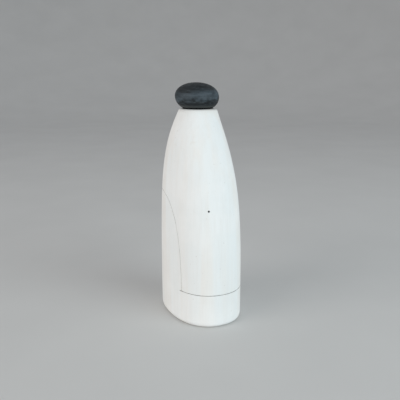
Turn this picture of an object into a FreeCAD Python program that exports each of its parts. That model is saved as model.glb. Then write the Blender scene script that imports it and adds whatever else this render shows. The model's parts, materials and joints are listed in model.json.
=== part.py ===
import FreeCAD, Part
import math
import os

# Kokeshi doll: a leaning oval body, a flat pebble head and a snap-in neck peg.
# Millimetres. +Z is up and the origin is the centre of the footprint on the table.
# The doll faces -Y, and +X is on the right of someone who faces the doll.

os.makedirs("parts", exist_ok=True)

# ---- Body: every cross-section is a slightly squared oval
BODY_HEIGHT = 152.3
BASE_HALF_WIDTH = 37.5          # broad way, along X
BASE_HALF_DEPTH = 26.6          # from the middle to the front and to the back
TOP_HALF_WIDTH = 14.5
TOP_TO_FRONT = 14.8             # the flat top sits forward of the base's middle
TOP_TO_BACK = 10.6
WIDTH_POWER = 3.55              # how late the sides start to close in
WIDTH_TAIL = 0.99
FRONT_POWER = 7.5
FRONT_TAIL = 1.195
BACK_POWER = 4.1
BACK_TAIL = 1.34
SQUARENESS = 2.25               # 2 is a true ellipse
FOOT_ROUNDING = 3.3             # radius along the bottom edge
SHOULDER_RIM_ROUNDING = 2.0     # softened edge of the flat top

# ---- Neck: the vertical axis that the head turns on
NECK_Y = -2.0
TENON_RADIUS = 4.0
TENON_LENGTH = 8.0
COLLAR_RADIUS = 10.9
HEAD_GAP = 0.95                 # the black collar fills this height above the body
SPIGOT_RADIUS = 4.0
SPIGOT_LENGTH = 8.0
BULB_RADIUS = 5.0
BULB_LENGTH = 7.0
BULB_CHAMFER = 1.5
TURNING_CLEARANCE = 0.05        # radial, between the spigot and its bore
CHAMBER_CLEARANCE = 0.3         # around the captive bulb
COLLAR_LIFT = 0.05              # the collar just clears the flat top

# ---- Head: a turned pebble whose crown leans forward
HEAD_RADIUS = 15.6
HEAD_UNDERSIDE_RADIUS = 11.4
HEAD_TOP = 170.5
HEAD_WIDEST = 160.8
HEAD_UPPER_POWER = 2.1
HEAD_LOWER_POWER = 2.1
HEAD_LEAN = 0.075               # forward shift for each unit of height

# ---- Incised robe line and inlaid dot
HEM_HEIGHT = 24.7
LINE_WIDTH = 0.35
LINE_DEPTH = 0.3
WALL_START_Y = -2.0 * BASE_HALF_WIDTH       # the cutting walls start well outside the body
WALL_LENGTH = 4.0 * BASE_HALF_WIDTH
DOT_RADIUS = 0.65
DOT_LENGTH = 4.0
DOT_HEIGHT = 85.4
DOT_ANGLE = -17.7               # degrees round the section from +X

# ---- How finely the curves are drawn, and how far cuts run past the surface
POINTS_ROUND = 40
LEVELS = 15
HEAD_POINTS = 8                 # on the curve above the head's widest level, and below it
OVERSHOOT = 1.0
TOLERANCE = 0.001


def between(low, high, share):
    return low + (high - low) * share


def half_size(height, base, top, power, tail):
    """Half size of the body at a height, from the base's size to the top's."""
    closing = (1.0 - (height / BODY_HEIGHT) ** power) ** tail
    return between(top, base, closing)


def signed_power(value, power):
    return math.copysign(abs(value) ** power, value)


def section_point(height, angle, inset):
    """A point on the body's oval, moved in by inset all round."""
    width = half_size(height, BASE_HALF_WIDTH, TOP_HALF_WIDTH, WIDTH_POWER, WIDTH_TAIL)
    if math.sin(angle) < 0.0:
        depth = half_size(height, BASE_HALF_DEPTH, TOP_TO_FRONT, FRONT_POWER, FRONT_TAIL)
    else:
        depth = half_size(height, BASE_HALF_DEPTH, TOP_TO_BACK, BACK_POWER, BACK_TAIL)
    x = (width - inset) * signed_power(math.cos(angle), 2.0 / SQUARENESS)
    y = (depth - inset) * signed_power(math.sin(angle), 2.0 / SQUARENESS)
    return FreeCAD.Vector(x, y, height)


def section_wire(height, inset):
    """The body's oval at a height, as one closed smooth curve."""
    points = []
    for step in range(POINTS_ROUND):
        angle = 2.0 * math.pi * step / POINTS_ROUND
        points.append(section_point(height, angle, inset))
    curve = Part.BSplineCurve()
    curve.interpolate(points, PeriodicFlag=True)
    return Part.Wire([curve.toShape()])


def body_levels():
    """Heights of the lofted sections, closer together where the shoulders curve."""
    heights = []
    for step in range(LEVELS):
        share = step / (LEVELS - 1.0)
        heights.append(BODY_HEIGHT * math.sin(share * math.pi / 2.0))
    return heights


def body_blank(inset):
    """The body before it is drilled and marked, made smaller by inset."""
    wires = [section_wire(height, inset) for height in body_levels()]
    return Part.makeLoft(wires, True, False)


def edges_at(solid, height):
    """Every edge that lies flat at a height."""
    found = []
    for edge in solid.Edges:
        box = edge.BoundBox
        if abs(box.ZMin - height) < TOLERANCE and abs(box.ZMax - height) < TOLERANCE:
            found.append(edge)
    return found


def neck_point(height):
    return FreeCAD.Vector(0.0, NECK_Y, height)


def turned(profile, height):
    """A solid turned round the neck axis from (radius, height) corners."""
    corners = [FreeCAD.Vector(radius, NECK_Y, height + level) for radius, level in profile]
    face = Part.Face(Part.makePolygon(corners + [corners[0]]))
    return face.revolve(neck_point(0.0), FreeCAD.Vector(0.0, 0.0, 1.0), 360.0)


def neck_socket():
    """Room for the spigot and the captive bulb, seen from the flat top down."""
    bore = SPIGOT_RADIUS + TURNING_CLEARANCE
    chamber = BULB_RADIUS + CHAMBER_CLEARANCE
    ledge = -SPIGOT_LENGTH + CHAMBER_CLEARANCE
    floor = -SPIGOT_LENGTH - BULB_LENGTH - CHAMBER_CLEARANCE
    profile = [
        (0.0, OVERSHOOT),
        (bore, OVERSHOOT),
        (bore, ledge + BULB_CHAMFER),
        (chamber, ledge),
        (chamber, floor),
        (0.0, floor),
    ]
    return turned(profile, BODY_HEIGHT)


def shifted_curve(points, shift):
    """A smooth curve beside a line of (x, z) points, shift to one side of it."""
    moved = []
    for index, (x, z) in enumerate(points):
        before = points[max(index - 1, 0)]
        after = points[min(index + 1, len(points) - 1)]
        run = after[0] - before[0]
        rise = after[1] - before[1]
        length = math.hypot(run, rise)
        beside_x = x - shift * rise / length
        beside_z = z + shift * run / length
        moved.append(FreeCAD.Vector(beside_x, WALL_START_Y, beside_z))
    curve = Part.BSplineCurve()
    curve.interpolate(moved)
    return curve.toShape()


def robe_edge_points():
    """The robe's opening in front view: up from the hem, then over to the doll's right."""
    return [
        (19.0, HEM_HEIGHT),
        (18.8, 34.0),
        (18.3, 44.0),
        (17.5, 53.0),
        (16.1, 61.5),
        (14.3, 69.5),
        (11.6, 77.3),
        (6.9, 84.8),
        (1.2, 89.9),
        (-7.0, 93.0),
        (-20.0, 93.9),
        (-50.0, 94.1),
    ]


def through_wall(edges):
    """A thin wall that runs right through the body from front to back."""
    face = Part.Face(Part.Wire(edges))
    return face.extrude(FreeCAD.Vector(0.0, WALL_LENGTH, 0.0))


def robe_edge_wall():
    half = LINE_WIDTH / 2.0
    points = robe_edge_points()
    inner = shifted_curve(points, half)
    outer = shifted_curve(points, -half)
    start = Part.makeLine(inner.firstVertex().Point, outer.firstVertex().Point)
    finish = Part.makeLine(inner.lastVertex().Point, outer.lastVertex().Point)
    return through_wall(Part.__sortEdges__([inner, finish, outer, start]))


def hem_wall():
    """The hem runs level from the foot of the robe's opening round the doll's left."""
    half = LINE_WIDTH / 2.0
    start = robe_edge_points()[0][0] - half
    corner = FreeCAD.Vector(start, WALL_START_Y, HEM_HEIGHT - half)
    return Part.makeBox(2.0 * BASE_HALF_WIDTH, WALL_LENGTH, LINE_WIDTH, corner)


def dot_frame():
    """Where the dot's centre meets the surface, and the outward direction there."""
    angle = math.radians(DOT_ANGLE)
    step = TOLERANCE
    here = section_point(DOT_HEIGHT, angle, 0.0)
    round_way = section_point(DOT_HEIGHT, angle + step, 0.0) - here
    up_way = section_point(DOT_HEIGHT + step, angle, 0.0) - here
    outward = round_way.cross(up_way)
    outward.normalize()
    return here, outward


def dot_cylinder(proud):
    """The dot's peg or its hole, reaching proud of the surface by a little or nothing."""
    centre, outward = dot_frame()
    start = centre - outward * DOT_LENGTH
    return Part.makeCylinder(DOT_RADIUS, DOT_LENGTH + proud, start, outward)


def body(blank):
    inner = body_blank(LINE_DEPTH)
    shape = blank.cut(neck_socket())
    shape = shape.cut(robe_edge_wall().fuse(hem_wall()).cut(inner))
    return shape.cut(dot_cylinder(OVERSHOOT))


def dot_pin():
    """A fine dark peg let into the robe, flush with its surface."""
    return dot_cylinder(0.0)


def neck_peg():
    """Tenon for the head, black collar, spigot and the bulb that snaps home."""
    lift = COLLAR_LIFT
    bulb_low = -SPIGOT_LENGTH - BULB_LENGTH
    profile = [
        (0.0, HEAD_GAP + TENON_LENGTH),
        (TENON_RADIUS, HEAD_GAP + TENON_LENGTH),
        (TENON_RADIUS, HEAD_GAP),
        (COLLAR_RADIUS, HEAD_GAP),
        (COLLAR_RADIUS, lift),
        (SPIGOT_RADIUS, lift),
        (SPIGOT_RADIUS, -SPIGOT_LENGTH + BULB_CHAMFER),
        (BULB_RADIUS, -SPIGOT_LENGTH),
        (BULB_RADIUS, bulb_low + BULB_CHAMFER),
        (BULB_RADIUS - BULB_CHAMFER, bulb_low),
        (0.0, bulb_low),
    ]
    return turned(profile, BODY_HEIGHT)


def head_profile():
    """Half outline of the upright pebble, from the underside's rim up to the crown."""
    underside = BODY_HEIGHT + HEAD_GAP
    rise = HEAD_TOP - HEAD_WIDEST
    share = 1.0 - (HEAD_UNDERSIDE_RADIUS / HEAD_RADIUS) ** HEAD_LOWER_POWER
    drop = (HEAD_WIDEST - underside) / share ** (1.0 / HEAD_LOWER_POWER)
    points = []
    lowest = math.asin(share ** 0.5)
    steps = HEAD_POINTS
    for step in range(steps):
        angle = lowest * (1.0 - step / float(steps))
        radius = HEAD_RADIUS * math.cos(angle) ** (2.0 / HEAD_LOWER_POWER)
        height = HEAD_WIDEST - drop * math.sin(angle) ** (2.0 / HEAD_LOWER_POWER)
        points.append(FreeCAD.Vector(radius, 0.0, height))
    for step in range(steps + 1):
        angle = math.pi / 2.0 * step / steps
        radius = HEAD_RADIUS * math.cos(angle) ** (2.0 / HEAD_UPPER_POWER)
        height = HEAD_WIDEST + rise * math.sin(angle) ** (2.0 / HEAD_UPPER_POWER)
        points.append(FreeCAD.Vector(max(radius, 0.0), 0.0, height))
    return points


def head():
    """The pebble, leaned forward and drilled for the tenon."""
    points = head_profile()
    points[-1] = FreeCAD.Vector(0.0, 0.0, HEAD_TOP)
    curve = Part.BSplineCurve()
    leaving = FreeCAD.Vector(1.0, 0.0, 1.0)
    arriving = FreeCAD.Vector(-1.0, 0.0, 0.0)
    curve.interpolate(points, InitialTangent=leaving, FinalTangent=arriving)
    underside = BODY_HEIGHT + HEAD_GAP
    centre_low = FreeCAD.Vector(0.0, 0.0, underside)
    closing = [Part.makeLine(points[-1], centre_low), Part.makeLine(centre_low, points[0])]
    face = Part.Face(Part.Wire([curve.toShape()] + closing))
    pebble = face.revolve(FreeCAD.Vector(), FreeCAD.Vector(0.0, 0.0, 1.0), 360.0)
    lean = FreeCAD.Matrix()
    lean.A23 = -HEAD_LEAN
    lean.A24 = NECK_Y + HEAD_LEAN * underside
    pebble = pebble.transformGeometry(lean)
    tenon_hole = Part.makeCylinder(TENON_RADIUS, TENON_LENGTH, neck_point(underside))
    return pebble.cut(tenon_hole)


def save(shape, node):
    shape.exportStep("parts/" + node + ".step")


blank = body_blank(0.0)
blank = blank.makeFillet(FOOT_ROUNDING, edges_at(blank, 0.0))
blank = blank.makeFillet(SHOULDER_RIM_ROUNDING, edges_at(blank, BODY_HEIGHT))
save(body(blank), "body")
save(dot_pin(), "dot_pin")
save(neck_peg(), "neck_peg")
save(head(), "head")
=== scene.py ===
import json
import math

import bmesh
import bpy
import numpy as np
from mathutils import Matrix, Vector


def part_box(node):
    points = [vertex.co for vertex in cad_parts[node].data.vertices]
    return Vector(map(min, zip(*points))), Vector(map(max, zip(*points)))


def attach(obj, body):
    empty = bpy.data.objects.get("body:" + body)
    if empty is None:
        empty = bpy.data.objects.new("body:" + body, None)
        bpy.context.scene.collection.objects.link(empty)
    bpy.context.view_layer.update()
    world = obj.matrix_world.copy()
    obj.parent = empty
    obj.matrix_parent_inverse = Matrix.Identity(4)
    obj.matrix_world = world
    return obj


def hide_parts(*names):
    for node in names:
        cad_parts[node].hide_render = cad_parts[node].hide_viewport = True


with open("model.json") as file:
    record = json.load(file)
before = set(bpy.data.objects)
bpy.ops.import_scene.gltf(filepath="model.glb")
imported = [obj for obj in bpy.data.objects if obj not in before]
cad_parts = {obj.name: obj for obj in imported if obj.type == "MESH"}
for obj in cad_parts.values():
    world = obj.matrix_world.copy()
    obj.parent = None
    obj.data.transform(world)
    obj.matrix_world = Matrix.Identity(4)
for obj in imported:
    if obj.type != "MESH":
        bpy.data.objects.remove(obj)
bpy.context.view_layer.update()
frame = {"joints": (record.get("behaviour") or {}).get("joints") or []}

# The doll's lengths are in millimetres, and MM makes them metres for its meshes and materials.
# The stage, the lights and the camera are in metres.
MM = 0.001


def box_mm(node):
    """A CAD node's lowest and highest corners, in millimetres."""
    low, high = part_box(node)
    return [round(c / MM, 2) for c in low], [round(c / MM, 2) for c in high]


body_high = box_mm("body")[1]
peg_low, peg_high = box_mm("neck_peg")
head_low, head_high = box_mm("head")
neck_place = [c / MM for c in frame["joints"][0]["pos_m"]]

# ---- The body's form, in millimetres. Every section is an oval that faces -Y.
BODY_HEIGHT = body_high[2]
BASE_HALF_WIDTH = body_high[0]
BASE_HALF_DEPTH = body_high[1]
TOP_HALF_WIDTH = 14.5
TOP_TO_FRONT = 14.8
TOP_TO_BACK = 10.6
WIDTH_POWER, WIDTH_TAIL = 3.55, 0.99
FRONT_POWER, FRONT_TAIL = 7.5, 1.195
BACK_POWER, BACK_TAIL = 4.1, 1.34
SQUARENESS = 2.25
FOOT_ROUNDING = 3.3
RIM_ROUNDING = 1.35
RIM_START_ANGLE = 22.0

# The hand-finished surface: slow waves as (strength, lobes round, climb per mm, phase)
CARVED_UNEVENNESS = 0.07
CARVED_WAVES = [
    (0.45, 3.0, 0.031, 0.7),
    (0.35, 5.0, -0.052, 2.1),
    (0.30, 2.0, 0.083, 4.0),
    (0.22, 9.0, 0.021, 1.3),
]
CARVED_FADE = 12.0

COLUMNS = 320
SIDE_RINGS = 200
FOOT_RINGS = 11
RIM_RINGS = 9
MID_HEIGHT = 70.0

# ---- The neck peg and its socket, from the collar down
NECK_Y = neck_place[1]
SPIGOT_RADIUS = 4.0
SPIGOT_LENGTH = 8.0
BULB_RADIUS = 5.0
BULB_CHAMFER = 1.5
BORE_RADIUS = SPIGOT_RADIUS + 0.05
BORE_MOUTH = 0.3
CHAMBER_CLEARANCE = 0.3
CHAMBER_RADIUS = BULB_RADIUS + CHAMBER_CLEARANCE
CHAMBER_TOP = SPIGOT_LENGTH - CHAMBER_CLEARANCE
PEG_BOTTOM = BODY_HEIGHT - peg_low[2]
SOCKET_DEPTH = PEG_BOTTOM + CHAMBER_CLEARANCE
COLLAR_RADIUS = peg_high[0]
COLLAR_LIFT = 0.05
COLLAR_SOFTENING = 0.35
NECK_COLUMNS = 128

# ---- The head: a turned pebble that leans forward
UNDERSIDE = head_low[2]
HEAD_TOP = head_high[2]
HEAD_RADIUS = head_high[0]
HEAD_UNDERSIDE_RADIUS = 11.4
HEAD_WIDEST = 160.8
HEAD_UPPER_POWER = 2.1
HEAD_LOWER_POWER = 2.1
HEAD_LEAN = 0.075
TENON_RADIUS = 4.0
TENON_LENGTH = 8.0
HEAD_COLUMNS = 256
TENON_EASING = 0.3              # the blind hole's mouth
UNDERSIDE_RINGS = (6.0, 8.5, 10.2)
WIDEST_RINGS = 34
CROWN_RINGS = 64


def half_size(height, base, top, power, tail):
    """Half size of the body at a height, from the base's size to the top's."""
    share = np.clip(np.asarray(height, float) / BODY_HEIGHT, 0.0, 1.0)
    return top + (base - top) * (1.0 - share ** power) ** tail


def signed_power(value, power):
    return np.sign(value) * np.abs(value) ** power


def oval(angle, height):
    """Points of the smooth body, as an array, for angles and heights in step."""
    angle = np.asarray(angle, float)
    height = np.asarray(height, float) + 0.0 * angle
    width = half_size(height, BASE_HALF_WIDTH, TOP_HALF_WIDTH, WIDTH_POWER, WIDTH_TAIL)
    front = half_size(height, BASE_HALF_DEPTH, TOP_TO_FRONT, FRONT_POWER, FRONT_TAIL)
    back = half_size(height, BASE_HALF_DEPTH, TOP_TO_BACK, BACK_POWER, BACK_TAIL)
    depth = np.where(np.sin(angle) < 0.0, front, back)
    x = width * signed_power(np.cos(angle), 2.0 / SQUARENESS)
    y = depth * signed_power(np.sin(angle), 2.0 / SQUARENESS)
    return np.stack([x, y, height], axis=-1)


def carving(points):
    """How far the hand-finished surface stands off the true form, in millimetres."""
    x, y, z = points[..., 0], points[..., 1], points[..., 2]
    turn = np.arctan2(y, x)
    wave = 0.0
    for strength, lobes, climb, phase in CARVED_WAVES:
        wave = wave + strength * np.sin(lobes * turn + climb * z + phase)
    wave = wave + 0.18 * np.sin(0.145 * z + 0.6 + 1.2 * np.sin(turn))
    fade = np.clip(z / CARVED_FADE, 0.0, 1.0) * np.clip((BODY_HEIGHT - z) / CARVED_FADE, 0.0, 1.0)
    return CARVED_UNEVENNESS * wave * fade


def unit(vectors):
    return vectors / np.linalg.norm(vectors, axis=-1, keepdims=True)


def outward(angle, height):
    """The true form's outward direction."""
    turn, rise = 1e-4, 0.01
    round_way = oval(angle + turn, height) - oval(angle - turn, height)
    low = np.clip(np.asarray(height, float) - rise, 0.0, BODY_HEIGHT)
    high = np.clip(np.asarray(height, float) + rise, 0.0, BODY_HEIGHT)
    up_way = oval(angle, high) - oval(angle, low)
    return unit(np.cross(round_way, up_way))


def surface(angle, height):
    """Points of the hand-finished body, with their outward directions."""
    points = oval(angle, height)
    normals = outward(angle, height)
    return points + normals * carving(points)[..., None], normals


def even_angles(count):
    """Angles that share the outline of a section at mid height out evenly."""
    fine = np.linspace(0.0, 2.0 * math.pi, 20001)
    line = oval(fine, MID_HEIGHT)
    gone = np.concatenate([[0.0], np.cumsum(np.linalg.norm(np.diff(line, axis=0), axis=1))])
    return np.interp(np.linspace(0.0, gone[-1], count, endpoint=False), gone, fine)


def ring_mesh(name, rings, low_centre, high_centre):
    """A closed mesh from a stack of rings, with a point at each end."""
    count = len(rings[0])
    vertices = [tuple(low_centre)]
    for ring in rings:
        vertices.extend(tuple(point) for point in ring)
    vertices.append(tuple(high_centre))
    last = len(vertices) - 1
    faces = []
    for k in range(count):
        faces.append((0, 1 + (k + 1) % count, 1 + k))
    for level in range(len(rings) - 1):
        here = 1 + level * count
        above = here + count
        for k in range(count):
            after = (k + 1) % count
            faces.append((here + k, here + after, above + after, above + k))
    top = 1 + (len(rings) - 1) * count
    for k in range(count):
        faces.append((top + k, top + (k + 1) % count, last))
    mesh = bpy.data.meshes.new(name)
    mesh.from_pydata([tuple(MM * c for c in v) for v in vertices], [], faces)
    mesh.update()
    return mesh


def as_object(name, mesh):
    """A new object in the scene, at the origin, which holds a mesh."""
    obj = bpy.data.objects.new(name, mesh)
    bpy.context.scene.collection.objects.link(obj)
    return obj


def circle(radius, height, directions):
    """A ring round the neck axis, with its points along the given directions."""
    ring = np.zeros((len(directions), 3))
    ring[:, 0] = radius * directions[:, 0]
    ring[:, 1] = NECK_Y + radius * directions[:, 1]
    ring[:, 2] = height
    return ring


def body_rings():
    """The body from the middle of its foot, up its side, over the rim and down into the socket."""
    angles = even_angles(COLUMNS)
    foot_line = oval(angles, 0.0)
    foot_out = outward(angles, 0.0)
    foot_out[:, 2] = 0.0
    foot_out = unit(foot_out)
    foot_flat = foot_line - foot_out * FOOT_ROUNDING
    rings = []
    for share in (0.15, 0.4, 0.65, 0.85, 0.95):
        rings.append(foot_flat * share)
    for turn in np.linspace(0.0, math.pi / 2.0, FOOT_RINGS):
        height = FOOT_ROUNDING * (1.0 - math.cos(turn))
        inset = FOOT_ROUNDING * (1.0 - math.sin(turn))
        points, normals = surface(angles, np.full(COLUMNS, height))
        rings.append(points - foot_out * inset)
    top_start = BODY_HEIGHT - RIM_ROUNDING
    spread = np.linspace(0.0, 1.0, SIDE_RINGS + 1)[1:]
    spread = 0.7 * spread + 0.3 * np.sin(spread * math.pi / 2.0)
    heights = FOOT_ROUNDING + (top_start - FOOT_ROUNDING) * spread
    for height in heights:
        rings.append(surface(angles, np.full(COLUMNS, height))[0])
    rim_line = rings[-1].copy()
    rim_out = rim_line - np.array([0.0, NECK_Y, 0.0])
    rim_out[:, 2] = 0.0
    rim_out = unit(rim_out)
    lean_in = math.radians(RIM_START_ANGLE)
    fullness = RIM_ROUNDING / (1.0 - math.sin(lean_in))
    for turn in np.linspace(lean_in, math.pi / 2.0, RIM_RINGS)[1:]:
        ring = rim_line - rim_out * fullness * (math.cos(lean_in) - math.cos(turn))
        ring[:, 2] = top_start + fullness * (math.sin(turn) - math.sin(lean_in))
        rings.append(ring)
    inner = circle(BORE_RADIUS, BODY_HEIGHT, rim_out)
    outer = rings[-1]
    for share in (0.06, 0.2, 0.45, 0.75, 0.94, 1.0):
        rings.append(outer + (inner - outer) * share)
    bore_low = BODY_HEIGHT - CHAMBER_TOP + BULB_CHAMFER
    rings.append(circle(BORE_RADIUS, BODY_HEIGHT - BORE_MOUTH, rim_out))
    rings.append(circle(BORE_RADIUS, bore_low, rim_out))
    rings.append(circle(CHAMBER_RADIUS, BODY_HEIGHT - CHAMBER_TOP, rim_out))
    rings.append(circle(CHAMBER_RADIUS, BODY_HEIGHT - SOCKET_DEPTH, rim_out))
    rings.append(circle(0.5 * CHAMBER_RADIUS, BODY_HEIGHT - SOCKET_DEPTH, rim_out))
    return rings


# ---- The robe's incised outline and the dot
HEM_HEIGHT = 24.7
ROBE_EDGE = [
    (19.0, HEM_HEIGHT), (18.8, 34.0), (18.3, 44.0), (17.5, 53.0), (16.1, 61.5), (14.3, 69.5), (11.6, 77.3),
    (6.9, 84.8), (1.2, 89.9), (-7.0, 93.0), (-20.0, 93.9), (-36.0, 94.0),
]
ROBE_EDGE_REACH = 0.94          # share of the half width where the line starts to run level
HEM_OVERRUN = 1.9
HEM_LINE_WIDTH = 0.36
EDGE_LINE_WIDTH = 0.26
LINE_DEPTH = 0.16
LINE_STEP = 0.6
HEM_POINTS = 400
DOT_ANGLE = math.radians(-17.7)
DOT_HEIGHT = 85.4
DOT_RADIUS = 0.65
DOT_LENGTH = 4.0
DOT_COLUMNS = 32
DOT_HOLE_CLEARANCE = 0.03
DOT_MOUTH_CLEARANCE = 0.07


def angle_at(x, height):
    """Angle on the front half of a section where it has this x."""
    width = half_size(height, BASE_HALF_WIDTH, TOP_HALF_WIDTH, WIDTH_POWER, WIDTH_TAIL)
    cosine = signed_power(np.clip(x / width, -1.0, 1.0), SQUARENESS / 2.0)
    return -np.arccos(cosine)


def smooth_line(points, count):
    """A centripetal Catmull-Rom curve through a few points."""
    line = np.array(points, float)
    line = np.vstack([2.0 * line[0] - line[1], line, 2.0 * line[-1] - line[-2]])
    out = []
    for i in range(1, len(line) - 2):
        p0, p1, p2, p3 = line[i - 1], line[i], line[i + 1], line[i + 2]
        t1 = np.linalg.norm(p1 - p0) ** 0.5
        t2 = t1 + np.linalg.norm(p2 - p1) ** 0.5
        t3 = t2 + np.linalg.norm(p3 - p2) ** 0.5
        for t in np.linspace(t1, t2, count, endpoint=False):
            a1 = p0 * (t1 - t) / t1 + p1 * t / t1
            a2 = p1 * (t2 - t) / (t2 - t1) + p2 * (t - t1) / (t2 - t1)
            a3 = p2 * (t3 - t) / (t3 - t2) + p3 * (t - t2) / (t3 - t2)
            b1 = a1 * (t2 - t) / t2 + a2 * t / t2
            b2 = a2 * (t3 - t) / (t3 - t1) + a3 * (t - t1) / (t3 - t1)
            out.append(b1 * (t2 - t) / (t2 - t1) + b2 * (t - t1) / (t2 - t1))
    out.append(line[-2])
    return np.array(out)


def even_steps(angles, heights):
    """The same path over the body, in even steps along its length."""
    points = oval(angles, heights)
    gone = np.concatenate([[0.0], np.cumsum(np.linalg.norm(np.diff(points, axis=0), axis=1))])
    count = max(4, int(round(gone[-1] / LINE_STEP)))
    stops = np.linspace(0.0, gone[-1], count)
    return np.interp(stops, gone, angles), np.interp(stops, gone, heights)


def robe_edge_path():
    """Up the front, level round the doll's right side, and down the back in the same way."""
    line = smooth_line(ROBE_EDGE, 12)
    width = half_size(line[:, 1], BASE_HALF_WIDTH, TOP_HALF_WIDTH, WIDTH_POWER, WIDTH_TAIL)
    line = line[line[:, 0] > -ROBE_EDGE_REACH * width]
    angles = angle_at(line[:, 0], line[:, 1])
    heights = line[:, 1]
    back_angles = -2.0 * math.pi - angles[::-1]
    angles = np.concatenate([angles, [-math.pi], back_angles])
    heights = np.concatenate([heights, [heights[-1]], heights[::-1]])
    return even_steps(angles, heights)


def hem_path():
    """Level round the doll's left side, from just past the robe's front edge to the back one."""
    start = float(angle_at(ROBE_EDGE[0][0] - HEM_OVERRUN, HEM_HEIGHT))
    angles = np.linspace(start, -start, HEM_POINTS)
    return even_steps(angles, np.full(HEM_POINTS, HEM_HEIGHT))


def line_cutter(name, path, width):
    """A wedge-shaped bar that follows a path over the body, for cutting a fine, slightly uneven line."""
    points, normals = surface(*path)
    along = unit(np.gradient(points, axis=0))
    side = unit(np.cross(normals, along))
    count = len(points)
    steps = np.arange(count)
    slow = np.sin(0.41 * steps) * np.sin(0.13 * steps + 1.0)
    uneven = 1.0 + 0.16 * slow + 0.1 * np.sin(1.37 * steps + 0.5)
    half = (0.5 * width * uneven)[:, None]
    depth = (LINE_DEPTH * uneven)[:, None]
    rows = [
        points + side * half * 2.0 + normals * depth,
        points - side * half * 2.0 + normals * depth,
        points - side * half * 0.35 - normals * depth,
        points + side * half * 0.35 - normals * depth,
    ]
    vertices = np.stack(rows, axis=1).reshape(-1, 3)
    faces = [(3, 2, 1, 0)]
    for i in range(count - 1):
        for k in range(4):
            a, b = 4 * i + k, 4 * i + (k + 1) % 4
            faces.append((a, b, b + 4, a + 4))
    last = 4 * (count - 1)
    faces.append((last, last + 1, last + 2, last + 3))
    mesh = bpy.data.meshes.new(name)
    mesh.from_pydata([tuple(MM * c for c in v) for v in vertices], [], faces)
    work = bmesh.new()
    work.from_mesh(mesh)
    bmesh.ops.recalc_face_normals(work, faces=work.faces)
    work.to_mesh(mesh)
    work.free()
    return mesh


def dot_place():
    """The dot's centre on the surface, and two directions across it and one out of it."""
    centre, normal = surface(np.array([DOT_ANGLE]), np.array([DOT_HEIGHT]))
    centre, normal = centre[0], normal[0]
    across = unit(np.cross([0.0, 0.0, 1.0], normal))
    return centre, across, np.cross(normal, across), normal


def dot_mesh(name, profile):
    """A closed mesh from (radius, height) corners, turned round the dot's own axis."""
    centre, across, up, normal = dot_place()
    turn = np.linspace(0.0, 2.0 * math.pi, DOT_COLUMNS, endpoint=False)[:, None]
    rings = []
    for radius, height in profile:
        rings.append(centre + height * normal + radius * (np.cos(turn) * across + np.sin(turn) * up))
    low = centre + profile[0][1] * normal
    high = centre + profile[-1][1] * normal
    return ring_mesh(name, rings, low, high)


def carve(obj, cutter_mesh):
    """Cut a shape out of an object's mesh. Its faces take the second material."""
    cutter = as_object("cutter", cutter_mesh)
    for material in obj.data.materials:
        cutter.data.materials.append(material)
    for face in cutter.data.polygons:
        face.material_index = 1
    cut = obj.modifiers.new("cut", "BOOLEAN")
    cut.operation = "DIFFERENCE"
    cut.solver = "EXACT"
    cut.object = cutter
    graph = bpy.context.evaluated_depsgraph_get()
    mesh = bpy.data.meshes.new_from_object(obj.evaluated_get(graph))
    obj.modifiers.remove(cut)
    obj.data = mesh
    bpy.data.objects.remove(cutter)


def true_normals(mesh):
    """Give the body's side faces the exact surface direction, so that fine cuts don't dent the shading."""
    count = len(mesh.vertices)
    co = np.zeros(count * 3, np.float32)
    mesh.vertices.foreach_get("co", co)
    co = co.reshape(-1, 3).astype(float) / MM
    height = np.clip(co[:, 2], 0.05, BODY_HEIGHT - 0.05)
    width = half_size(height, BASE_HALF_WIDTH, TOP_HALF_WIDTH, WIDTH_POWER, WIDTH_TAIL)
    front = half_size(height, BASE_HALF_DEPTH, TOP_TO_FRONT, FRONT_POWER, FRONT_TAIL)
    back = half_size(height, BASE_HALF_DEPTH, TOP_TO_BACK, BACK_POWER, BACK_TAIL)
    depth = np.where(co[:, 1] < 0.0, front, back)
    sine = signed_power(co[:, 1] / depth, SQUARENESS / 2.0)
    cosine = signed_power(co[:, 0] / width, SQUARENESS / 2.0)
    angle = np.arctan2(sine, cosine)
    turn, rise = 2e-3, 0.05
    round_way = surface(angle + turn, height)[0] - surface(angle - turn, height)[0]
    up_way = surface(angle, height + rise)[0] - surface(angle, height - rise)[0]
    normals = unit(np.cross(round_way, up_way))
    loops = len(mesh.loops)
    vertex_of = np.zeros(loops, np.int32)
    mesh.loops.foreach_get("vertex_index", vertex_of)
    totals = np.zeros(len(mesh.polygons), np.int32)
    mesh.polygons.foreach_get("loop_total", totals)
    slots = np.zeros(len(mesh.polygons), np.int32)
    mesh.polygons.foreach_get("material_index", slots)
    slot_of = np.repeat(slots, totals)
    z = co[vertex_of, 2]
    wanted = (slot_of == 0) & (z > FOOT_ROUNDING + 0.5) & (z < BODY_HEIGHT - 2.0 * RIM_ROUNDING)
    result = np.where(wanted[:, None], normals[vertex_of], 0.0)
    mesh.normals_split_custom_set(result.tolist())


# ---- Materials
# The body is a little darker and browner up to this height above the foot, and round the rim of the flat
# top it shows a little wear and carries painted shade from the head above.
FOOT_DARKENING_HEIGHT = 2.6
RIM_WEAR_AND_SHADE_FROM = BODY_HEIGHT - 3.3
RIM_WEAR_AND_SHADE_TO = BODY_HEIGHT - 1.1
# The robe's edge turns darker between these heights.
EDGE_FIRMER_FROM = 64.0
EDGE_FIRMER_TO = 77.0
# The head's painted sheen band dips to the front and to the doll's right.
SHEEN_BAND_TILT = (-0.037, -0.079, 0.0)


def new_material(name):
    """A material with its nodes, its links and its main shader."""
    material = bpy.data.materials.new(name)
    material.use_nodes = True
    nodes = material.node_tree.nodes
    return material, nodes, material.node_tree.links, nodes["Principled BSDF"]


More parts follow.
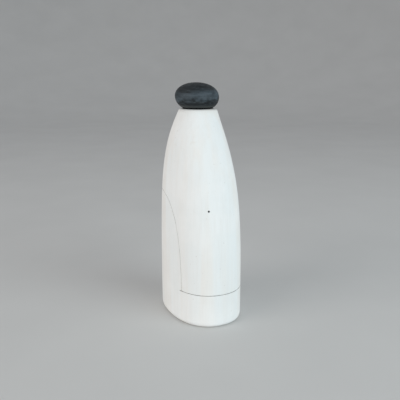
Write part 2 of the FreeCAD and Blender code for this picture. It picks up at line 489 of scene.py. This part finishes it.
def noise(nodes, links, vector, scale, detail, roughness=0.5, stretch=(1.0, 1.0, 1.0)):
    """Noise over the piece, stretched along its axes."""
    mapping = nodes.new("ShaderNodeMapping")
    mapping.inputs["Scale"].default_value = stretch
    links.new(vector, mapping.inputs["Vector"])
    texture = nodes.new("ShaderNodeTexNoise")
    texture.inputs["Scale"].default_value = scale
    texture.inputs["Detail"].default_value = detail
    texture.inputs["Roughness"].default_value = roughness
    links.new(mapping.outputs["Vector"], texture.inputs["Vector"])
    return texture.outputs["Fac"]


def remap(nodes, links, value, low, high, to_low, to_high, smooth=False):
    """A value between low and high, moved to the range from to_low to to_high."""
    made = nodes.new("ShaderNodeMapRange")
    made.interpolation_type = "SMOOTHSTEP" if smooth else "LINEAR"
    made.inputs["From Min"].default_value = low
    made.inputs["From Max"].default_value = high
    made.inputs["To Min"].default_value = to_low
    made.inputs["To Max"].default_value = to_high
    links.new(value, made.inputs["Value"])
    return made.outputs["Result"]


def mix_colour(nodes, links, amount, first, second):
    """One colour faded into another. Each input is a number, a colour or another node's output."""
    made = nodes.new("ShaderNodeMix")
    made.data_type = "RGBA"
    for socket, value in ((made.inputs[0], amount), (made.inputs[6], first), (made.inputs[7], second)):
        if isinstance(value, bpy.types.NodeSocket):
            links.new(value, socket)
        elif isinstance(value, tuple):
            socket.default_value = value + (1.0,)
        else:
            socket.default_value = value
    return made.outputs[2]


def combine(nodes, links, operation, first, second):
    """Two values added, subtracted or multiplied."""
    made = nodes.new("ShaderNodeMath")
    made.operation = operation
    for socket, value in ((made.inputs[0], first), (made.inputs[1], second)):
        if isinstance(value, bpy.types.NodeSocket):
            links.new(value, socket)
        else:
            socket.default_value = value
    return made.outputs[0]


def bump(nodes, links, shader, height, distance, strength):
    """Relief finer than the mesh."""
    made = nodes.new("ShaderNodeBump")
    made.inputs["Distance"].default_value = distance
    made.inputs["Strength"].default_value = strength
    links.new(height, made.inputs["Height"])
    links.new(made.outputs["Normal"], shader.inputs["Normal"])


def own_coordinates(nodes):
    """The piece's own coordinates, so that its look moves with it."""
    return nodes.new("ShaderNodeTexCoord").outputs["Object"]


def height_of(nodes, links, where):
    """The height above the ground, in metres."""
    parts = nodes.new("ShaderNodeSeparateXYZ")
    links.new(where, parts.inputs["Vector"])
    return parts.outputs["Z"]


def between_heights(nodes, links, height, low, high, at_low, at_high):
    """A smooth change from one value to another between two heights in millimetres."""
    return remap(nodes, links, height, low * MM, high * MM, at_low, at_high, True)


def white_ground():
    """Matt shell-white ground brushed down the wood, faintly streaked and speckled, with wear and painted
    shade round the top rim.
    """
    material, nodes, links, shader = new_material("white_ground")
    where = own_coordinates(nodes)
    height = height_of(nodes, links, where)
    bands = noise(nodes, links, where, 1.0, 2.0, 0.5, (95.0, 95.0, 5.0))
    streaks = noise(nodes, links, where, 1.0, 3.0, 0.55, (330.0, 330.0, 13.0))
    fine_streaks = noise(nodes, links, where, 1.0, 2.0, 0.5, (1300.0, 1300.0, 45.0))
    clouds = noise(nodes, links, where, 34.0, 4.0, 0.6)
    grain = noise(nodes, links, where, 2300.0, 2.0, 0.6)
    specks = noise(nodes, links, where, 620.0, 1.0, 0.3)
    stains = noise(nodes, links, where, 75.0, 3.0, 0.6)

    colour = mix_colour(nodes, links, remap(nodes, links, bands, 0.38, 0.62, 0.0, 1.0, True),
                        (0.850, 0.840, 0.815), (0.845, 0.870, 0.870))
    colour = mix_colour(nodes, links, remap(nodes, links, clouds, 0.40, 0.66, 0.0, 0.6, True),
                        colour, (0.900, 0.908, 0.902))
    colour = mix_colour(nodes, links, remap(nodes, links, streaks, 0.45, 0.72, 0.0, 0.32),
                        colour, (0.790, 0.785, 0.765))
    colour = mix_colour(nodes, links, remap(nodes, links, fine_streaks, 0.5, 0.8, 0.0, 0.15),
                        colour, (0.760, 0.755, 0.740))
    colour = mix_colour(nodes, links, remap(nodes, links, stains, 0.66, 0.78, 0.0, 0.25, True),
                        colour, (0.700, 0.640, 0.560))
    colour = mix_colour(nodes, links, remap(nodes, links, specks, 0.790, 0.82, 0.0, 0.40, True),
                        colour, (0.42, 0.37, 0.32))
    # The foot turns a little darker and browner up to this height.
    foot_darkening = between_heights(nodes, links, height, 0.0, FOOT_DARKENING_HEIGHT, 0.40, 0.0)
    foot_darkening = combine(nodes, links, "MULTIPLY", foot_darkening, remap(nodes, links, clouds, 0.3, 0.7, 0.3, 1.0))
    colour = mix_colour(nodes, links, foot_darkening, colour, (0.50, 0.46, 0.41))
    # Painted shade with some wear: the band just below the top rim, under the head's edge, is darker.
    rim_wear_and_painted_shade = between_heights(nodes, links, height, RIM_WEAR_AND_SHADE_FROM, RIM_WEAR_AND_SHADE_TO, 0.0, 0.22)
    rim_wear_and_painted_shade = combine(nodes, links, "MULTIPLY", rim_wear_and_painted_shade, remap(nodes, links, clouds, 0.35, 0.65, 0.3, 1.0))
    colour = mix_colour(nodes, links, rim_wear_and_painted_shade, colour, (0.66, 0.645, 0.61))
    links.new(colour, shader.inputs["Base Color"])
    roughness = remap(nodes, links, clouds, 0.3, 0.7, 0.66, 0.80)
    links.new(roughness, shader.inputs["Roughness"])
    shader.inputs["Specular IOR Level"].default_value = 0.18
    relief = combine(nodes, links, "MULTIPLY", streaks, 1.2)
    relief = combine(nodes, links, "ADD", relief, combine(nodes, links, "MULTIPLY", fine_streaks, 0.4))
    relief = combine(nodes, links, "ADD", relief, combine(nodes, links, "MULTIPLY", grain, 0.2))
    bump(nodes, links, shader, relief, 0.00005, 0.4)
    return material


def graphite_line():
    """The incised line: soft grey, dark at the hem, faint up the robe's edge and firmer round its curve."""
    material, nodes, links, shader = new_material("graphite_line")
    where = own_coordinates(nodes)
    height = height_of(nodes, links, where)
    patches = noise(nodes, links, where, 160.0, 3.0, 0.6)
    tooth = noise(nodes, links, where, 2600.0, 2.0, 0.6)
    upward = between_heights(nodes, links, height, HEM_HEIGHT + 0.3, HEM_HEIGHT + 1.5, 0.0, 1.0)
    base = mix_colour(nodes, links, upward, (0.19, 0.185, 0.18), (0.57, 0.56, 0.54))
    firmer = between_heights(nodes, links, height, EDGE_FIRMER_FROM, EDGE_FIRMER_TO, 0.0, 1.0)
    base = mix_colour(nodes, links, firmer, base, (0.28, 0.275, 0.26))
    amount = combine(nodes, links, "MULTIPLY", remap(nodes, links, patches, 0.4, 0.65, 0.0, 0.5),
                     remap(nodes, links, tooth, 0.3, 0.6, 0.6, 1.0))
    links.new(mix_colour(nodes, links, amount, base, (0.55, 0.54, 0.52)), shader.inputs["Base Color"])
    shader.inputs["Roughness"].default_value = 0.7
    bump(nodes, links, shader, tooth, 0.00004, 0.4)
    return material


def dark_wood_head():
    """Charcoal stain brushed round the wood: a dark crown, a painted bluish-grey sheen round the middle and
    a painted reflection of the white body on the lower rim.
    """
    material, nodes, links, shader = new_material("charcoal_head_and_painted_sheen")
    where = own_coordinates(nodes)
    height = height_of(nodes, links, where)
    rings = noise(nodes, links, where, 1.0, 3.0, 0.6, (60.0, 60.0, 1100.0))
    strokes = noise(nodes, links, where, 1.0, 4.0, 0.62, (280.0, 280.0, 1000.0))
    patches = noise(nodes, links, where, 1.0, 4.0, 0.65, (100.0, 100.0, 210.0))
    pores = noise(nodes, links, where, 2600.0, 2.0, 0.6)
    drift = combine(nodes, links, "MULTIPLY", combine(nodes, links, "SUBTRACT", patches, 0.5), 0.010)
    tilt = nodes.new("ShaderNodeVectorMath")
    tilt.operation = "DOT_PRODUCT"
    tilt.inputs[1].default_value = SHEEN_BAND_TILT
    links.new(where, tilt.inputs[0])
    level = combine(nodes, links, "ADD", height, drift)
    level = combine(nodes, links, "ADD", level, tilt.outputs["Value"])

    colour = mix_colour(nodes, links, remap(nodes, links, strokes, 0.35, 0.62, 0.0, 1.0),
                        (0.009, 0.0115, 0.0135), (0.024, 0.030, 0.034))
    # Painted sheen: a lighter bluish band round the head's widest part stands in for window reflections.
    from_below = between_heights(nodes, links, level, HEAD_WIDEST - 3.8, HEAD_WIDEST - 0.8, 0.0, 1.0)
    from_above = between_heights(nodes, links, level, HEAD_WIDEST + 2.4, HEAD_WIDEST + 5.6, 1.0, 0.0)
    middle = combine(nodes, links, "MULTIPLY", from_below, from_above)
    uneven = remap(nodes, links, patches, 0.36, 0.62, 0.30, 1.0, True)
    painted_sheen = combine(nodes, links, "MULTIPLY", middle, uneven)
    colour = mix_colour(nodes, links, painted_sheen, colour, (0.068, 0.089, 0.106))
    colour = mix_colour(nodes, links, remap(nodes, links, strokes, 0.54, 0.74, 0.0, 0.42, True),
                        colour, (0.082, 0.100, 0.116))
    colour = mix_colour(nodes, links, remap(nodes, links, rings, 0.52, 0.74, 0.0, 0.35),
                        colour, (0.060, 0.066, 0.070))
    colour = mix_colour(nodes, links, remap(nodes, links, rings, 0.30, 0.44, 0.5, 0.0),
                        colour, (0.007, 0.008, 0.009))
    # Painted reflection: the lower rim is lightened as if lit by the white body below it.
    rim = between_heights(nodes, links, height, UNDERSIDE + 0.55, UNDERSIDE + 2.35, 0.75, 0.0)
    colour = mix_colour(nodes, links, rim, colour, (0.078, 0.085, 0.084))
    links.new(colour, shader.inputs["Base Color"])
    links.new(remap(nodes, links, patches, 0.35, 0.65, 0.64, 0.50), shader.inputs["Roughness"])
    shader.inputs["Specular IOR Level"].default_value = 0.20
    relief = combine(nodes, links, "ADD", rings, combine(nodes, links, "MULTIPLY", pores, 0.35))
    relief = combine(nodes, links, "ADD", relief, strokes)
    bump(nodes, links, shader, relief, 0.00009, 0.6)
    return material


def black_peg_wood():
    """Matt black stain on turned hardwood."""
    material, nodes, links, shader = new_material("black_stained_peg")
    where = own_coordinates(nodes)
    rings = noise(nodes, links, where, 1.0, 2.0, 0.5, (60.0, 60.0, 1600.0))
    pores = noise(nodes, links, where, 2400.0, 2.0, 0.6)
    colour = mix_colour(nodes, links, remap(nodes, links, rings, 0.4, 0.7, 0.0, 1.0),
                        (0.003, 0.003, 0.0035), (0.007, 0.007, 0.008))
    links.new(colour, shader.inputs["Base Color"])
    shader.inputs["Roughness"].default_value = 0.8
    shader.inputs["Specular IOR Level"].default_value = 0.08
    bump(nodes, links, shader, combine(nodes, links, "ADD", rings, pores), 0.00005, 0.4)
    return material


def dark_dot():
    """A nearly black peg end with a little end grain."""
    material, nodes, links, shader = new_material("dark_dot_wood")
    where = own_coordinates(nodes)
    grain = noise(nodes, links, where, 5200.0, 2.0, 0.6)
    colour = mix_colour(nodes, links, remap(nodes, links, grain, 0.35, 0.7, 0.0, 1.0),
                        (0.005, 0.004, 0.006), (0.012, 0.010, 0.014))
    links.new(colour, shader.inputs["Base Color"])
    shader.inputs["Roughness"].default_value = 0.6
    bump(nodes, links, shader, grain, 0.00002, 0.4)
    return material


def pale_floor():
    """Plain pale paper, very faintly mottled."""
    material, nodes, links, shader = new_material("pale_floor")
    where = own_coordinates(nodes)
    mottle = noise(nodes, links, where, 9.0, 3.0, 0.5)
    colour = mix_colour(nodes, links, remap(nodes, links, mottle, 0.3, 0.7, 0.0, 1.0),
                        (0.66, 0.66, 0.65), (0.69, 0.69, 0.68))
    links.new(colour, shader.inputs["Base Color"])
    shader.inputs["Roughness"].default_value = 0.85
    return material


# ---- The pieces
def head_outline():
    """(radius, height) from the tenon's blind hole out over the underside and up to the crown."""
    share = 1.0 - (HEAD_UNDERSIDE_RADIUS / HEAD_RADIUS) ** HEAD_LOWER_POWER
    drop = (HEAD_WIDEST - UNDERSIDE) / share ** (1.0 / HEAD_LOWER_POWER)
    rise = HEAD_TOP - HEAD_WIDEST
    outline = [
        (0.5 * TENON_RADIUS, UNDERSIDE + TENON_LENGTH),
        (TENON_RADIUS, UNDERSIDE + TENON_LENGTH),
        (TENON_RADIUS, UNDERSIDE + TENON_EASING),
        (TENON_RADIUS + 0.2, UNDERSIDE),
    ]
    for radius in UNDERSIDE_RINGS:
        outline.append((radius, UNDERSIDE))
    outline.append((HEAD_UNDERSIDE_RADIUS - 0.3, UNDERSIDE + 0.015))
    lowest = math.asin(share ** 0.5)
    for angle in np.linspace(lowest, 0.0, WIDEST_RINGS)[:-1]:
        radius = HEAD_RADIUS * math.cos(angle) ** (2.0 / HEAD_LOWER_POWER)
        height = HEAD_WIDEST - drop * math.sin(angle) ** (2.0 / HEAD_LOWER_POWER)
        outline.append((radius, max(height, UNDERSIDE + 0.06)))
    for angle in np.linspace(0.0, math.pi / 2.0, CROWN_RINGS)[:-1]:
        radius = HEAD_RADIUS * math.cos(angle) ** (2.0 / HEAD_UPPER_POWER)
        height = HEAD_WIDEST + rise * math.sin(angle) ** (2.0 / HEAD_UPPER_POWER)
        outline.append((radius, height))
    return outline


def head_rings():
    """The outline turned round the neck, leaned forward, with a slight hand-shaped wander."""
    turn = np.linspace(0.0, 2.0 * math.pi, HEAD_COLUMNS, endpoint=False)
    rings = []
    for radius, height in head_outline():
        up = (height - UNDERSIDE) / (HEAD_TOP - UNDERSIDE)
        free = 0.0
        if radius > HEAD_UNDERSIDE_RADIUS - 0.5:
            free = math.sin(math.pi * min(max(up, 0.0), 1.0))
        wander = 0.0045 * np.sin(2.0 * turn + 0.9 + 2.0 * up)
        wander = wander + 0.0035 * np.sin(3.0 * turn + 2.2 - 3.0 * up)
        turned = radius * (1.0 + free * wander) + free * 0.03 * math.sin(5.5 * height)
        ring = np.zeros((HEAD_COLUMNS, 3))
        ring[:, 0] = turned * np.cos(turn)
        in_tenon_hole = radius < TENON_RADIUS + 0.1 and height < HEAD_WIDEST + 2.0
        lean = 0.0 if in_tenon_hole else HEAD_LEAN * (height - UNDERSIDE)
        ring[:, 1] = NECK_Y + turned * np.sin(turn) - lean
        ring[:, 2] = height
        rings.append(ring)
    return rings


def neck_rings():
    """The peg's outline: captive bulb, spigot, collar with soft edges, and tenon."""
    bulb_low = -PEG_BOTTOM
    gap = UNDERSIDE - BODY_HEIGHT
    tenon_top = gap + TENON_LENGTH
    soft = COLLAR_SOFTENING
    outline = [
        (0.4 * BULB_RADIUS, bulb_low),
        (BULB_RADIUS - BULB_CHAMFER, bulb_low),
        (BULB_RADIUS, bulb_low + BULB_CHAMFER),
        (BULB_RADIUS, -SPIGOT_LENGTH),
        (SPIGOT_RADIUS, -SPIGOT_LENGTH + BULB_CHAMFER),
        (SPIGOT_RADIUS, COLLAR_LIFT),
        (0.6 * COLLAR_RADIUS, COLLAR_LIFT),
    ]
    inner = COLLAR_RADIUS - soft
    for turn in np.linspace(0.0, math.pi / 2.0, 5):
        outline.append((inner + soft * math.sin(turn), COLLAR_LIFT + soft * (1.0 - math.cos(turn))))
    for turn in np.linspace(0.0, math.pi / 2.0, 5):
        outline.append((inner + soft * math.cos(turn), gap - soft * (1.0 - math.sin(turn))))
    outline.append((0.6 * COLLAR_RADIUS, gap))
    outline.append((TENON_RADIUS, gap))
    outline.append((TENON_RADIUS, tenon_top - soft))
    outline.append((TENON_RADIUS - soft, tenon_top))
    outline.append((0.4 * TENON_RADIUS, tenon_top))
    turn = np.linspace(0.0, 2.0 * math.pi, NECK_COLUMNS, endpoint=False)
    directions = np.stack([np.cos(turn), np.sin(turn)], axis=1)
    return [circle(radius, BODY_HEIGHT + level, directions) for radius, level in outline]


def finish_mesh(mesh, angle):
    """Smooth shading, with sharp edges kept where faces meet at more than an angle."""
    mesh.polygons.foreach_set("use_smooth", [True] * len(mesh.polygons))
    mesh.set_sharp_from_angle(angle=math.radians(angle))


def build_body():
    """The white body, with the robe's edge, the hem and the dot's hole cut into it."""
    rings = body_rings()
    low = (0.0, 0.0, 0.0)
    high = (0.0, NECK_Y, BODY_HEIGHT - SOCKET_DEPTH)
    obj = as_object("kokeshi_body", ring_mesh("kokeshi_body", rings, low, high))
    obj.data.materials.append(white_ground())
    obj.data.materials.append(graphite_line())
    carve(obj, line_cutter("robe_edge", robe_edge_path(), EDGE_LINE_WIDTH))
    carve(obj, line_cutter("hem", hem_path(), HEM_LINE_WIDTH))
    hole = [
        (DOT_RADIUS + DOT_HOLE_CLEARANCE, -DOT_LENGTH - 0.02),
        (DOT_RADIUS + DOT_HOLE_CLEARANCE, -0.08),
        (DOT_RADIUS + DOT_MOUTH_CLEARANCE, 0.05),
        (DOT_RADIUS + DOT_MOUTH_CLEARANCE, 1.0),
    ]
    carve(obj, dot_mesh("dot_hole", hole))
    finish_mesh(obj.data, 38.0)
    true_normals(obj.data)
    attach(obj, "body")
    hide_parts("body")
    return obj


def build_dot():
    """The dot's peg, with a softened inner end and a very slightly domed face."""
    profile = [
        (DOT_RADIUS - 0.08, -DOT_LENGTH),
        (DOT_RADIUS, -DOT_LENGTH + 0.08),
        (DOT_RADIUS, -0.05),
        (DOT_RADIUS - 0.04, 0.0),
        (DOT_RADIUS - 0.14, 0.035),
        (0.25, 0.055),
        (0.1, 0.06),
    ]
    obj = as_object("kokeshi_dot", dot_mesh("kokeshi_dot", profile))
    obj.data.materials.append(dark_dot())
    finish_mesh(obj.data, 50.0)
    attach(obj, "body")
    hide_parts("dot_pin")
    return obj


def build_head():
    """The dark pebble, with a blind hole for the tenon."""
    rings = head_rings()
    low = (0.0, NECK_Y, UNDERSIDE + TENON_LENGTH)
    high = (0.0, NECK_Y - HEAD_LEAN * (HEAD_TOP - UNDERSIDE), HEAD_TOP)
    obj = as_object("kokeshi_head", ring_mesh("kokeshi_head", rings, low, high))
    obj.data.materials.append(dark_wood_head())
    finish_mesh(obj.data, 50.0)
    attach(obj, "head")
    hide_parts("head")
    return obj


def build_neck():
    """The peg that joins the head to the body. Only its collar shows."""
    low = (0.0, NECK_Y, BODY_HEIGHT - PEG_BOTTOM)
    high = (0.0, NECK_Y, UNDERSIDE + TENON_LENGTH)
    obj = as_object("kokeshi_neck_peg", ring_mesh("kokeshi_neck_peg", neck_rings(), low, high))
    obj.data.materials.append(black_peg_wood())
    finish_mesh(obj.data, 40.0)
    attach(obj, "head")
    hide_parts("neck_peg")
    return obj


# ---- Stage, light and camera, in metres and radians
VIEW_AZIMUTH = math.radians(64.847)
CAMERA_DISTANCE = 0.37460
CAMERA_HEIGHT = 0.17632
CAMERA_PITCH = 0.23832
CAMERA_SIDE_SHIFT = -0.000745
CAMERA_LENS = 46.8              # mm, as the sensor's width
SENSOR_WIDTH = 36.0

LIGHT_SPREAD = math.radians(110.0)
LIGHT_WIDTH = 1.2
LIGHT_TALLNESS = 0.6
LIGHT_TARGET = Vector((0.0, 0.0, 0.06))
WINDOW_COLOUR = (0.86, 0.97, 1.0)
FILL_COLOUR = (1.0, 0.962, 0.922)
ROOM_COLOUR = (0.95, 0.97, 1.0, 1.0)
ROOM_STRENGTH = 0.43

FLOOR_FLAT_RADIUS = 1.6
FLOOR_SWEEP_RADIUS = 1.1
FLOOR_COLUMNS = 96


def view_point(distance, side_turn, height):
    """A point at a turn, in degrees, to the right of the camera's own direction from the doll."""
    angle = VIEW_AZIMUTH + math.radians(side_turn)
    return Vector((distance * math.sin(angle), -distance * math.cos(angle), height))


def build_stage():
    """A round pale floor whose far edge sweeps up out of view."""
    profile = []
    for radius in (0.05, 0.15, 0.4, 0.8, 1.2, FLOOR_FLAT_RADIUS):
        profile.append((radius, 0.0))
    for turn in np.linspace(0.0, math.pi / 2.6, 16)[1:]:
        radius = FLOOR_FLAT_RADIUS + FLOOR_SWEEP_RADIUS * math.sin(turn)
        profile.append((radius, FLOOR_SWEEP_RADIUS * (1.0 - math.cos(turn))))
    work = bmesh.new()
    centre = work.verts.new((0.0, 0.0, 0.0))
    before = None
    for radius, height in profile:
        ring = []
        for k in range(FLOOR_COLUMNS):
            turn = 2.0 * math.pi * k / FLOOR_COLUMNS
            ring.append(work.verts.new((radius * math.cos(turn), radius * math.sin(turn), height)))
        for k in range(FLOOR_COLUMNS):
            after = (k + 1) % FLOOR_COLUMNS
            if before is None:
                work.faces.new((centre, ring[k], ring[after]))
            else:
                work.faces.new((before[k], ring[k], ring[after], before[after]))
        before = ring
    mesh = bpy.data.meshes.new("floor")
    work.to_mesh(mesh)
    work.free()
    mesh.polygons.foreach_set("use_smooth", [True] * len(mesh.polygons))
    floor = as_object("floor", mesh)
    floor.data.materials.append(pale_floor())


def area_light(name, where, energy, colour):
    """A broad soft light that faces the doll."""
    lamp = bpy.data.lights.new(name, "AREA")
    lamp.shape = "RECTANGLE"
    lamp.size = LIGHT_WIDTH
    lamp.size_y = LIGHT_TALLNESS
    lamp.energy = energy
    lamp.color = colour
    lamp.spread = LIGHT_SPREAD
    obj = bpy.data.objects.new(name, lamp)
    bpy.context.scene.collection.objects.link(obj)
    obj.location = where
    obj.rotation_euler = (LIGHT_TARGET - where).to_track_quat("-Z", "Y").to_euler()


def build_light():
    """A cool window on the camera's right, a warm fill on its left, and an even room."""
    window = view_point(distance=1.3, side_turn=52.0, height=0.40)
    fill = view_point(distance=1.5, side_turn=-56.0, height=0.40)
    area_light("window", window, 4.3, WINDOW_COLOUR)
    area_light("fill", fill, 4.25, FILL_COLOUR)
    world = bpy.data.worlds.new("studio")
    bpy.context.scene.world = world
    world.use_nodes = True
    background = world.node_tree.nodes["Background"]
    background.inputs["Color"].default_value = ROOM_COLOUR
    background.inputs["Strength"].default_value = ROOM_STRENGTH


def build_camera():
    """The camera looks down a little at the doll's left side and front."""
    data = bpy.data.cameras.new("camera")
    data.lens = CAMERA_LENS
    data.sensor_width = SENSOR_WIDTH
    data.sensor_fit = "HORIZONTAL"
    data.shift_x = CAMERA_SIDE_SHIFT
    data.clip_start = 0.01
    camera = bpy.data.objects.new("camera", data)
    bpy.context.scene.collection.objects.link(camera)
    camera.location = view_point(CAMERA_DISTANCE, 0.0, CAMERA_HEIGHT)
    camera.rotation_euler = (math.pi / 2.0 - CAMERA_PITCH, 0.0, VIEW_AZIMUTH)
    bpy.context.scene.camera = camera


build_body()
build_dot()
build_head()
build_neck()
build_stage()
build_light()
build_camera()
bpy.context.scene.view_settings.view_transform = "Standard"
